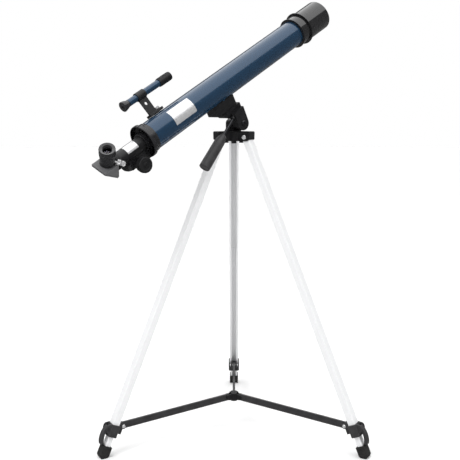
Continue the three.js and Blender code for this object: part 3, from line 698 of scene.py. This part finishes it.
def add_arm(n):
    place, length = arm_frame(n)
    bar = fuse(block((0, length), (-2.4, 2.4), (-ARM_HALF, ARM_HALF), 0.3),
               rod(ARM_HALF, -2.4, 2.4, 0.3, 64), moved(rod(ARM_HALF, -2.4, 2.4, 0.3, 64), length, 0, 0))
    low, high = 2.4 - ARM_HALF, ARM_HALF - 2.4
    groove = eased([(12, low), (length - 12, low), (length - 12, high), (12, high)], 2.2, steps=5)
    grooves = [prism(groove, side * 2.25 - 0.75, side * 2.25 + 0.75, "xz", 0) for side in (-1, 1)]
    eyes = [moved(hole(2.3, -5, 5), x, 0, 0) for x in (0, length)]
    bar = soften(cut(bar, *grooves, *eyes), 0.25)
    put(bar, f"arm_bar_{n}", place, "stand", CHARCOAL, [f"spreader_arm_{n}"])


def hub():
    profile = [(0, HUB_Z - 9), (7, HUB_Z - 9), (9.5, HUB_Z - 6), (9.5, HUB_Z + 7),
               (5, HUB_Z + 9.5), (0, HUB_Z + 9.5)]
    body = along_z(lathe(profile, 0.8))
    forks, slots, pins = [], [], []
    for n in (1, 2, 3):
        turn = CENTRE.inverted() @ sector_frame(n)
        parts = [block((5, HUB_PIVOT_R), (-5.6, 5.6), (HUB_Z - 5.4, HUB_Z + 5.4), 0.2),
                 moved(rod(5.4, -5.6, 5.6, 0.4, 48), HUB_PIVOT_R, 0, HUB_Z),
                 block((HUB_PIVOT_R - ARM_HALF - 0.4, 30), (-2.8, 2.8), (HUB_Z - 20, HUB_Z + 20), 0),
                 moved(rod(1.7, -5.6, 5.6, 0.2, 32), HUB_PIVOT_R, 0, HUB_Z)]
        for part in parts:
            part.data.transform(turn)
        forks += parts[:2]
        slots.append(parts[2])
        pins.append(parts[3])
    return soften(fuse(cut(fuse(body, *forks), *slots), *pins), 0.3)


def crown():
    """The hub of the legs: three sleeves, with a tongue and a rivet hole in each."""
    body = along_z(rod(19.4, CROWN_BOTTOM, CROWN_TOP, 0.8))
    side = [(8, CROWN_BOTTOM), (35.4, CROWN_BOTTOM), (CROWN_R - 0.4, CROWN_BOTTOM + 3.6),
            (CROWN_R, CROWN_TOP - 1.5), (CROWN_R - 1.5, CROWN_TOP), (8, CROWN_TOP)]
    pocket_half = LEG_W / 2 + 0.3
    arms, pockets, tongues, holes = [], [], [], []
    for n in (1, 2, 3):
        turn = CENTRE.inverted() @ sector_frame(n)
        arm = prism(eased(side, 1.2), -CROWN_HALF_W, CROWN_HALF_W, "xz", 0.8)
        pocket = block((19.7, CROWN_R - 1.4), (-pocket_half, pocket_half), (560, CROWN_TOP - 2), 0)
        tongue = fuse(block((14, 21), (-3.6, 3.6), (576, CROWN_TOP - 1), 0),
                      block((18, LEG_PIVOT_R), (-3.6, 3.6), (LEG_PIVOT_Z - 4.4, LEG_PIVOT_Z + 4.4), 0),
                      moved(rod(4.4, -3.6, 3.6, 0.2, 48), LEG_PIVOT_R, 0, LEG_PIVOT_Z))
        bore = moved(hole(2.7, -15, 15), LEG_PIVOT_R, 0, LEG_PIVOT_Z)
        for part, group in ((arm, arms), (pocket, pockets), (tongue, tongues), (bore, holes)):
            part.data.transform(turn)
            group.append(part)
    bolt = along_z(hole(3.3, 560, 610))
    body = cut(fuse(body, *arms), *pockets)
    return soften(cut(fuse(body, *tongues), *holes, bolt), 0.3)


def add_tripod():
    put(crown(), "crown_moulding", CENTRE, "stand", BLACK, ["crown"])
    bolt_head = lathe([(0, 574.6), (5.6, 574.6), (5.6, 579.2), (0, 579.2)], 0.3, 6)
    bolt = fuse(along_z(rod(3, 575, 606)), along_z(bolt_head))
    put(bolt, "centre_bolt", CENTRE, "stand", STEEL, ["pan_bolt"])
    put(hub(), "arm_hub", CENTRE, "stand", BLACK, ["spreader_hub"])
    for n in (1, 2, 3):
        add_legs(n)
        add_leg_fittings(n)
        add_arm(n)


# ------------------------------------------------------------------ pan and tilt head

HANDLE_X, HANDLE_DROP = 20, 22
HANDLE_START = (HANDLE_X, -11.5, 18.1)


def pan_base():
    tilt_z = joint_at("tilt").z / MM
    low = CROWN_TOP + 0.3 - tilt_z
    disc = cut(along_z(rod(14, low, 602.5 - tilt_z, 0.4)), block((9.6, 20), (-20, 20), (-30, 0), 0))
    lug = fuse(block((-15.6, -2.4), (-7.5, 7.5), (600 - tilt_z, 0), 0.3), along_x(rod(7.5, -15.6, -2.4, 0.6)))
    boss = along_z(rod(6.5, 600 - tilt_z, 608.5 - tilt_z, 0.5))
    bolt = along_z(hole(3.3, -30, 607 - tilt_z))
    return soften(cut(fuse(disc, lug, boss), bolt, along_x(hole(3.1, -30, 30))), 0.3)


def tilt_axle():
    body = along_x(lathe([(0, -18.6), (4.4, -18.6), (5.4, -17.8), (5.4, -15.9), (2.8, -15.9), (2.8, 28.3),
                          (5.4, 28.3), (5.4, 29.4), (4, 30.6), (0, 30.6)], 0.3))
    hex_key = along_x(lathe([(0, 29.4), (2.2, 29.4), (2.2, 31), (0, 31)], 0, 6))
    return cut(body, hex_key)


def tilt_block():
    """A platform for the saddle, and a cheek at its right that turns on the axle."""
    top = [(21, 35.3), (-18.1, 35.3)] + arc((-12, 27), 8.6, 145, 270, 14) + arc((17, 22.4), 4, 270, 360)
    cheek = arc((0, 0), 14, -175, 0, 40) + [(15.5, 29.7), (-12, 26)]
    start = Vector(HANDLE_START)
    boss = moved(turned(rod(5.6, -4, 14, 0.5), HANDLE_DROP, "X"), *start)
    rod_hole = moved(turned(hole(3.3, -20, 12), HANDLE_DROP, "X"), *start)
    body = fuse(prism(top, -15, 15, "yz", 0.7), prism(cheek, 10, 28, "yz", 0.9), boss)
    body = cut(body, rod_hole, along_x(hole(3.1, -30, 40)), moved(along_z(hole(3.3, 10, 50)), 0, -3, 0))
    return soften(body, 0.3)


def handle_grip():
    """The grip of the pan handle, waisted at its neck and fluted along its length."""
    profile = [(0, -42), (4.6, -42), (6.4, -46), (9.6, -54), (10.2, -58), (10.4, -72), (10.6, -96),
               (10.8, -112), (10.8, -119), (10.2, -120.4), (8.2, -120.4), (7.8, -119.6), (0, -119.6)]
    body = lathe(profile, 0.5, flutes=24, flute_depth=0.3, flute_above=10)
    return cut(body, hole(3.3, -76, -30))


def saddle():
    body = block((-14.6, 14.6), (-41.4, 13), (35.6, 60), 0.8)
    bore = moved(hole(TUBE_R + 0.3, -60, 60, ROUND), 0, 0, TUBE_ABOVE_TILT)
    screw = moved(along_z(hole(3.3, 30, 46)), 0, -3, 0)
    return soften(cut(body, bore, screw), 0.35)


def add_head():
    put(pan_base(), "pan_turntable", PAN, "pan", BLACK, ["pan_base"])
    put(tilt_axle(), "tilt_bolt", PAN, "pan", STEEL, ["tilt_axle"])
    put(tilt_block(), "tilt_platform", TILT, "telescope", BLACK, ["tilt_block"])
    put(rod(3, -75, 11), "handle_shaft", HANDLE, "handle", STEEL, ["handle_rod"])
    put(handle_grip(), "handle_sleeve", HANDLE, "handle", CHARCOAL, ["handle_grip"])
    put(saddle(), "tube_saddle", TILT, "telescope", BLACK, ["saddle"])
    screw = fuse(along_z(rod(3, 14, 45)), along_z(lathe(
        [(0, 13.4), (6, 13.4), (6, 18.1), (0, 18.1)], 0.5, 144, 36, 0.4, 5.7)))
    put(moved(screw, 0, -3, 0), "saddle_bolt", TILT, "telescope", CHROME, ["saddle_screw"])


# ------------------------------------------------------------------ optical tube


def rear_cell():
    """The focuser's housing: an open cup on the tube, a throat and a bracket for the pinion."""
    shell = lathe([(25.4, TUBE_REAR + 14), (25.4, TUBE_REAR - 0.3), (28.2, TUBE_REAR - 0.3),
                   (28.2, -201), (31.6, -203), (31.6, CELL_REAR + 0.8), (30.8, CELL_REAR),
                   (29.6, CELL_REAR), (28.6, -200), (24, -197), (17.4, -197), (17.4, -214),
                   (DRAW_R + 0.3, -214), (DRAW_R + 0.3, TUBE_REAR + 14)], 0.5)
    barrel = along_x(rod(6.6, -13, 13, 0.6))
    bracket = fuse(block((-6.5, 6.5), (-256, -197), (-31, -12), 1.2), moved(barrel, 0, PINION_Y, PINION_Z))
    body = fuse(shell, bracket)
    body = cut(
        body,
        hole(DRAW_R + 0.3, -300, -150, ROUND),
        block((-3.4, 3.4), (-300, -150), (-21.6, -10), 0),
        moved(along_x(hole(1.9, -30, 30)), 0, PINION_Y, PINION_Z),
        moved(along_x(hole(6.3, -3.4, 3.4)), 0, PINION_Y, PINION_Z),
    )
    return soften(body, 0.3)


def drawtube():
    body = tube(12.25, DRAW_R, DRAW_REAR, DRAW_FRONT, 0.3)
    mouth = lathe([(12.4, DRAW_REAR - 8.6), (15.6, DRAW_REAR - 8.6), (15.6, DRAW_REAR + 0.5),
                   (12.4, DRAW_REAR + 0.5)], 0.5, 144, 72, 0.25, 15.2)
    rack = block((-3, 3), (DRAW_REAR + 6, DRAW_FRONT - 4), (-19.6, -13), 0.1)
    count = int((DRAW_FRONT - 6 - DRAW_REAR - 8) / RACK_PITCH)
    tooth = [(0, -19.4), (0.5, -20.8), (1.2, -20.8), (1.7, -19.4)]
    teeth = [prism([(y + DRAW_REAR + 8 + RACK_PITCH * i, z) for y, z in tooth], -2.6, 2.6, "yz", 0)
             for i in range(count)]
    screw = turned(turned(hole(1.8, 12, 30), 90, "X"), DRAW_SCREW_TURN, "Y")
    body = fuse(body, mouth, rack, stack(*teeth))
    return cut(body, moved(screw, 0, DRAW_SCREW_Y, 0))


def focus_knob(side):
    profile = [(1.9, 14), (8, 14), (8, 15.5), (12.8, 16), (12.8, 21), (14.4, 21.5), (14.4, 29), (13.4, 30),
               (9.5, 30), (9, 29.2), (4.4, 29.2), (4, 30), (1.9, 30)]
    return along_x(lathe([(r, x * side) for r, x in profile], 0.4, 240, 60, 0.5, 14.1))


def pinion_shaft():
    gear = lathe([(0, -2.6), (5.5, -2.6), (5.5, 2.6), (0, 2.6)], 0.1, 144, GEAR_TEETH, 1.6, 5.2)
    return fuse(along_x(rod(1.6, -29.6, 29.6)), along_x(gear))


def wrapped_label(radius, y, start, end, thickness=0.12):
    """A thin label on a round tube, from one angle to another, measured from up towards +X."""
    steps = 32
    angles = [math.radians(start + (end - start) * i / steps) for i in range(steps + 1)]
    outer = [((radius + thickness) * math.sin(a), (radius + thickness) * math.cos(a)) for a in angles]
    inner = [(radius * math.sin(a), radius * math.cos(a)) for a in reversed(angles)]
    return prism(outer + inner, y[0], y[1], "xz", 0)


def add_tube():
    put(tube(TUBE_R - 1.2, TUBE_R, TUBE_REAR, TUBE_FRONT), "tube_barrel", OTA, "telescope", NAVY,
        ["main_tube"], FLOCK)
    cell = lathe([(22, TUBE_FRONT - 14), (25.4, TUBE_FRONT - 14), (25.4, TUBE_FRONT + 0.3),
                  (32.2, TUBE_FRONT + 0.3), (32.2, TUBE_FRONT + 1.8), (30.6, TUBE_FRONT + 2.4),
                  (30.6, SHIELD_REAR - 0.3),
                  (27.6, SHIELD_REAR - 0.3), (27.6, SHIELD_REAR + 10), (25.2, SHIELD_REAR + 10),
                  (25.2, SHIELD_REAR - 7), (22, SHIELD_REAR - 7)], 0.5, 128)
    put(cell, "objective_cell", OTA, "telescope", GLOSS, ["lens_cell"])
    rim = (24.8, SHIELD_REAR + 0.6)
    front = [rim] + curve(rim, (14, SHIELD_REAR + 2.8), (0, SHIELD_REAR + 2.8))
    lens = lathe([(0, SHIELD_REAR - 6.6), (24.8, SHIELD_REAR - 5.9)] + front, 0.1, 128)
    put(lens, "objective_glass", OTA, "telescope", GLASS, ["objective_lens"])
    retainer = tube(22.6, 24.9, SHIELD_REAR + 1.4, SHIELD_REAR + 7)
    notches = [turned(block((20, 26), (SHIELD_REAR + 5.6, SHIELD_REAR + 8), (-1.2, 1.2), 0), angle, "Y")
               for angle in (0, 180)]
    put(cut(retainer, *notches), "retaining_ring", OTA, "telescope", BLACK, ["lens_retainer"])
    shield = lathe([(27.9, SHIELD_REAR), (35, SHIELD_REAR), (35, SHIELD_REAR + 1.8),
                    (SHIELD_R, SHIELD_REAR + 2.6), (SHIELD_R, SHIELD_FRONT - 0.8),
                    (SHIELD_R - 0.6, SHIELD_FRONT), (SHIELD_R - 2, SHIELD_FRONT),
                    (SHIELD_R - 2.4, SHIELD_REAR + 14), (27.9, SHIELD_REAR + 13)], 0.5, 128)
    put(shield, "dew_hood", OTA, "telescope", GLOSS, ["dew_shield"], FLOCK)
    put(wrapped_label(TUBE_R, (-145, -91), 25.5, 95), "tube_label", OTA, "telescope", LABEL)


def add_focuser():
    put(rear_cell(), "focuser_housing", OTA, "telescope", SHEEN, ["rear_cell"])
    put(drawtube(), "draw_barrel", OTA, "draw", BLACK, ["drawtube"], FLOCK)
    put(wrapped_label(DRAW_R, (-254.5, -229), -2, 80), "draw_label", OTA, "draw", LABEL)
    put(pinion_shaft(), "pinion", PINION, "focus_pinion", STEEL, ["pinion_shaft"])
    for side, name in ((1, "right"), (-1, "left")):
        put(focus_knob(side), f"knob_{name}", PINION, "focus_pinion", BLACK, [f"focus_knob_{name}"])


# ------------------------------------------------------------------ star diagonal


def thumbscrew(shank, head_radius, head_length):
    """Along Y, with a plain shank and a knurled head."""
    head = lathe([(0, shank), (head_radius * 0.7, shank), (head_radius, shank + 0.6),
                  (head_radius, shank + head_length), (head_radius * 0.8, shank + head_length),
                  (head_radius * 0.7, shank + head_length - 0.5), (0, shank + head_length - 0.5)],
                 0.3, 144, 36, 0.35, head_radius - 0.3)
    return fuse(rod(1.5, 0, shank + 0.5, 0.2, 32), head)


def wedge(half_width, ease):
    """The diagonal's box: square to both tubes, and cut off at 45 degrees along the mirror."""
    corner = MIRROR_BACK * math.sqrt(2)
    tip = 1.3
    rear, bottom = HOUSING_TOP + corner - tip, HOUSING_FRONT + corner - tip
    outline = [(HOUSING_FRONT, HOUSING_TOP), (-rear, HOUSING_TOP), (-rear, rear - corner),
               (bottom - corner, -bottom), (HOUSING_FRONT, -bottom)]
    return prism(outline, -half_width, half_width, "yz", ease)


def light_path():
    """What is cut away for the light: the two bores, the mirror's bed and the screw's hole."""
    back = -MIRROR_BACK / math.sqrt(2)
    bed = moved(turned(block((-12, 12), (-3, 3), (-15, 15), 0), 45, "X"), 0, back, back)
    screw = moved(turned(hole(1.8, 8, 30), EYE_SCREW_TURN, "Z"), 0, 0, EYE_SCREW_Z)
    return hole(9.6, -13, 60, 64), along_z(hole(12.5, -14, 60, ROUND)), screw, bed


def diagonal_box():
    return soften(cut(wedge(HOUSING_HALF, 0.7), *light_path()), 0.25)


def diagonal_barrels():
    nose = rod(11.9, HOUSING_FRONT - 0.4, DRAW_REAR - DIAGONAL_Y - 1, 0.4)
    socket = along_z(lathe([(0, HOUSING_TOP - 0.4), (14.2, HOUSING_TOP - 0.4), (13.4, HOUSING_TOP + 2),
                            (13.4, 30), (14.2, 30.6), (14.2, 33), (0, 33)], 0.4))
    return soften(cut(stack(nose, socket), *light_path()), 0.25)


def eyepiece():
    """An eyepiece: a plain barrel, a ribbed grip and a wide bowl round the eye lens."""
    bowl = [(13.2, 46.6)] + curve((13.2, 46.6), (8.8, 45.6), (6.6, 42.4))
    return along_z(lathe([(9.6, 14), (12.2, 14), (12.2, 33.5), (14, 33.5), (14.6, 34.5), (14.6, 45), (14, 47)]
                         + bowl + [(6.6, 41), (9.6, 40)], 0.4, 240, 40, 0.3, 14.5))


def add_diagonal():
    put(diagonal_box(), "diagonal_housing", DIAGONAL, "diagonal", GREY, ["diagonal_body"])
    put(diagonal_barrels(), "diagonal_barrels", DIAGONAL, "diagonal", SHEEN, ["diagonal_body"])
    back = -MIRROR_BACK / math.sqrt(2)
    bed = DIAGONAL @ Matrix.Translation((0, back, back)) @ Matrix.Rotation(math.radians(45), 4, "X")
    put(block((-11.5, 11.5), (0.3, 2.3), (-12, 12), 0.2), "flat_mirror", bed, "diagonal", SILVER,
        ["diagonal_mirror"])
    cover = prism(rounded_rect(33, 45, 2), -1.9, -0.5, "xz", 0.3)
    sinks = [moved(hole(1.6, -2.5, -1.3), x, 0, z) for x in (-13.5, 13.5) for z in (-19.5, 19.5)]
    put(cut(cover, *sinks), "mirror_cover", bed, "diagonal", GREY, ["diagonal_cover"])
    put(eyepiece(), "ocular_barrel", DIAGONAL, "ocular", GLOSS, ["eyepiece"])
    dome = [(9.2, 37)] + curve((9.2, 37), (5, 40), (0, 40))
    put(along_z(lathe([(0, 35), (9.2, 35)] + dome, 0.1)), "ocular_glass", DIAGONAL, "ocular", GLASS,
        ["eye_lens"])
    eye = (DIAGONAL @ Matrix.Translation((0, 0, EYE_SCREW_Z))
           @ Matrix.Rotation(math.radians(EYE_SCREW_TURN), 4, "Z"))
    put(moved(thumbscrew(4.2, 4.6, 6), 0, 12.5, 0), "ocular_thumbscrew", eye, "diagonal", CHROME,
        ["eyepiece_screw"])
    seat = (OTA @ Matrix.Translation((0, DRAW_SCREW_Y, 0))
            @ Matrix.Rotation(math.radians(DRAW_SCREW_TURN), 4, "Y"))
    screw = along_z(moved(thumbscrew(4.4, 4.6, 6), 0, 12.3, 0))
    put(screw, "draw_thumbscrew", seat, "draw", CHROME, ["diagonal_screw"])


# ------------------------------------------------------------------ finder


def finder_bracket():
    ring_y = FINDER_RING_Y
    clamp = tube(FINDER_R + 0.3, 8.4, ring_y - 10, ring_y + 10, 0.6)
    blade = [(ring_y - 9.6, 32 - FINDER_D), (ring_y + 8.6, 32 - FINDER_D),
             (ring_y + 9.6, -7.6), (ring_y - 9.6, -7.6)]
    web = prism(blade, -1.5, 1.5, "yz", 0.4)
    plate = block((-8, 8), (ring_y - 12, ring_y + 20), (27.6 - FINDER_D, 32.4 - FINDER_D), 0.6)
    body = fuse(clamp, web, plate)
    body = cut(
        body,
        moved(hole(TUBE_R + 0.3, -250, -50, ROUND), 0, 0, -FINDER_D),
        hole(FINDER_R + 0.3, -250, -50, ROUND),
        moved(along_x(hole(3.2, -5, 5)), 0, ring_y, -18),
        moved(along_z(hole(1.8, 20, 40)), 0, ring_y + 14, -FINDER_D),
    )
    return soften(body, 0.25)


def finder_front():
    cell = tube(FINDER_R + 0.3, 8.1, FINDER_FRONT - 30, FINDER_FRONT, 0.4)
    lip = tube(5.4, FINDER_R + 1, FINDER_FRONT - 8, FINDER_FRONT - 6, 0.2)
    ribs = [turned(block((7.9, 8.5), (FINDER_FRONT - 28, FINDER_FRONT - 2), (-0.5, 0.5), 0.2), 15 * k, "Y")
            for k in range(24)]
    return fuse(cell, lip, *ribs)


def finder_eyepiece():
    back = FINDER_BACK
    flare = curve((9.8, back + 1.6), (9.2, back + 6), (FINDER_R, back + 13))
    inside = [(FINDER_R, back + 14), (5.2, back + 14), (5.2, back + 22), (4, back + 22),
              (2.2, back + 6)]
    return lathe([(2.2, back), (9.6, back), (9.8, back + 1.6)] + flare + inside, 0.5)


def add_finder():
    barrel = tube(5.6, FINDER_R, FINDER_BACK + 14.3, FINDER_FRONT - 8.3, 0.2)
    put(barrel, "finder_barrel", SIGHT, "telescope", NAVY, ["finder_tube"], FLOCK)
    put(finder_bracket(), "finder_mount", SIGHT, "telescope", BLACK, ["finder_bracket"])
    put(finder_front(), "finder_hood", SIGHT, "telescope", BLACK, ["finder_front_cell"])
    put(finder_eyepiece(), "finder_eye_cup", SIGHT, "telescope", SHEEN, ["finder_eyepiece"])
    lens_y = FINDER_FRONT - 5.7
    dome = [(6.5, lens_y + 1.6)] + curve((6.5, lens_y + 1.6), (3, lens_y + 2.6), (0, lens_y + 2.6))
    put(lathe([(0, lens_y), (6.5, lens_y)] + dome, 0.1), "finder_glass", SIGHT, "telescope", GLASS,
        ["finder_lens"])
    nut = moved(along_z(thumbscrew(5.3, 4.2, 5)), 0, FINDER_RING_Y + 14, 27.4)
    put(nut, "finder_thumbnut", FINDER, "telescope", CHROME, ["finder_nut"])


# ------------------------------------------------------------------ studio


def add_floor():
    bpy.ops.mesh.primitive_circle_add(vertices=96, radius=12, fill_type="NGON")
    floor = bpy.context.object
    floor.name = "studio_floor"
    mat = material("studio_white", (0.82, 0.82, 0.82), 0.6, Specular_IOR_Level=0.2)
    floor.data.materials.append(mat)
    floor.visible_glossy = False


def add_world():
    """Pale all round for the camera; for light and reflections, a bright ceiling over dim walls."""
    world = bpy.data.worlds.new("studio")
    bpy.context.scene.world = world
    world.use_nodes = True
    nodes, links = world.node_tree.nodes, world.node_tree.links
    nodes.clear()
    coords = nodes.new("ShaderNodeTexCoord")
    height = nodes.new("ShaderNodeSeparateXYZ")
    ramp = nodes.new("ShaderNodeValToRGB")
    ramp.color_ramp.elements[0].position = CEILING_FROM
    ramp.color_ramp.elements[0].color = (WALL_LIGHT, WALL_LIGHT, WALL_LIGHT, 1)
    ramp.color_ramp.elements[1].position = CEILING_FROM + 0.03
    ramp.color_ramp.elements[1].color = (1, 1, 1, 1)
    lit = nodes.new("ShaderNodeBackground")
    lit.inputs["Strength"].default_value = CEILING_LIGHT
    seen = nodes.new("ShaderNodeBackground")
    seen.inputs["Color"].default_value = (1, 1, 1, 1)
    path = nodes.new("ShaderNodeLightPath")
    mix = nodes.new("ShaderNodeMixShader")
    output = nodes.new("ShaderNodeOutputWorld")
    links.new(coords.outputs["Generated"], height.inputs["Vector"])
    links.new(height.outputs["Z"], ramp.inputs["Fac"])
    links.new(ramp.outputs["Color"], lit.inputs["Color"])
    links.new(path.outputs["Is Camera Ray"], mix.inputs["Fac"])
    links.new(lit.outputs["Background"], mix.inputs[1])
    links.new(seen.outputs["Background"], mix.inputs[2])
    links.new(mix.outputs["Shader"], output.inputs["Surface"])


def add_light(name, place, target, size, power):
    data = bpy.data.lights.new(name, "AREA")
    data.size = size
    data.energy = power
    light = bpy.data.objects.new(name, data)
    bpy.context.scene.collection.objects.link(light)
    light.visible_glossy = False
    light.location = place
    light.rotation_euler = (Vector(target) - Vector(place)).to_track_quat("-Z", "Y").to_euler()


def add_camera():
    """A little above the head, straight in front of the pan axis, looking slightly down."""
    data = bpy.data.cameras.new("camera")
    data.sensor_width = 36
    data.lens = CAMERA_LENS
    data.shift_x, data.shift_y = CAMERA_SHIFT
    camera = bpy.data.objects.new("camera", data)
    bpy.context.scene.collection.objects.link(camera)
    camera.location = (PAN_AXIS.x, PAN_AXIS.y - CAMERA_BACK, CAMERA_HEIGHT)
    camera.rotation_euler = (math.radians(90 - CAMERA_DIP), 0, 0)
    bpy.context.scene.camera = camera


def add_studio():
    add_floor()
    add_world()
    add_light("key_softbox", (-1.2, -1.6, 2.4), (0, 0, 0.5), 1.2, 30)
    add_light("fill_softbox", (1.8, -1.2, 1.2), (0, 0, 0.5), 1.0, 8)
    add_camera()
    bpy.context.scene.view_settings.view_transform = "Standard"


add_studio()
add_tripod()
add_head()
add_tube()
add_focuser()
add_diagonal()
add_finder()
